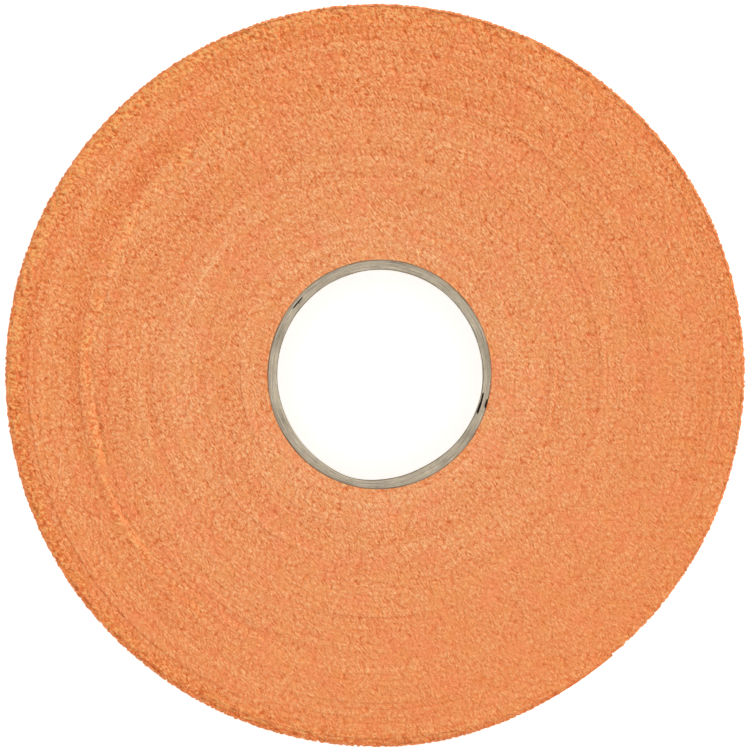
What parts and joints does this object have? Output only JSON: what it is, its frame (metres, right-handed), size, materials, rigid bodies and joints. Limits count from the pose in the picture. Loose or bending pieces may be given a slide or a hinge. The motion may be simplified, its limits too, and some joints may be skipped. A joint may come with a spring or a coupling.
{
  "type": "grip tape roll",
  "caption": "Flat reel of towelling grip tape for racket handles, wound on a thin cardboard core, with a free tail that peels off the rim.",
  "frame": {"origin": "middle of the rim, on the end face that the roll lies on", "axes": "+Z along the core's axis, upwards, with the roll lying flat; the tape's cut end is on the rim at 50 degrees below +X"},
  "size_m": [0.1353, 0.1359, 0.03],
  "materials": {
    "towelling": "matt, looped pile",
    "greyboard": "matt, unbleached",
    "greyboard_dark": "matt, unbleached",
    "release_paper": "smooth, silicone coated",
    "adhesive_strip": "tacky, thin"
  },
  "bodies": {
    "roll": {"core_inner_ply": "greyboard", "core_middle_ply": "greyboard_dark", "core_outer_ply": "greyboard", "start_strip": "adhesive_strip", "towelling_tape": "towelling"},
    "tail_1": {"tail_tape_1": "towelling", "tail_liner_1": "release_paper"},
    "tail_2": {"tail_tape_2": "towelling", "tail_liner_2": "release_paper"},
    "tail_3": {"tail_tape_3": "towelling", "tail_liner_3": "release_paper"},
    "tail_4": {"tail_tape_4": "towelling"},
    "liner_end": {"tail_liner_4": "release_paper"}
  },
  "joints": [
    {"name": "tail_peel", "type": "hinge", "parent": "roll", "child": "tail_1", "pos_m": [-0.0185, -0.06534, 0.015], "axis": [0, 0, -1], "range_deg": [0, 32]},
    {"name": "tail_bend_2", "type": "hinge", "parent": "tail_1", "child": "tail_2", "pos_m": [-0.00207, -0.06799, 0.015], "axis": [0, 0, -1], "range_deg": [0, 24]},
    {"name": "tail_bend_3", "type": "hinge", "parent": "tail_2", "child": "tail_3", "pos_m": [0.01453, -0.06659, 0.015], "axis": [0, 0, -1], "range_deg": [0, 24]},
    {"name": "tail_bend_4", "type": "hinge", "parent": "tail_3", "child": "tail_4", "pos_m": [0.0303, -0.06121, 0.015], "axis": [0, 0, -1], "range_deg": [0, 24]},
    {"name": "liner_peel", "type": "hinge", "parent": "tail_3", "child": "liner_end", "pos_m": [0.02968, -0.05994, 0.015], "axis": [0, 0, 1], "range_deg": [0, 20]}
  ],
  "couplings": [
    {"joint": "tail_bend_2", "follows": "tail_peel", "ratio": 0.75},
    {"joint": "tail_bend_3", "follows": "tail_peel", "ratio": 0.75},
    {"joint": "tail_bend_4", "follows": "tail_peel", "ratio": 0.75},
    {"joint": "liner_peel", "follows": "tail_peel", "ratio": 0.6}
  ]
}
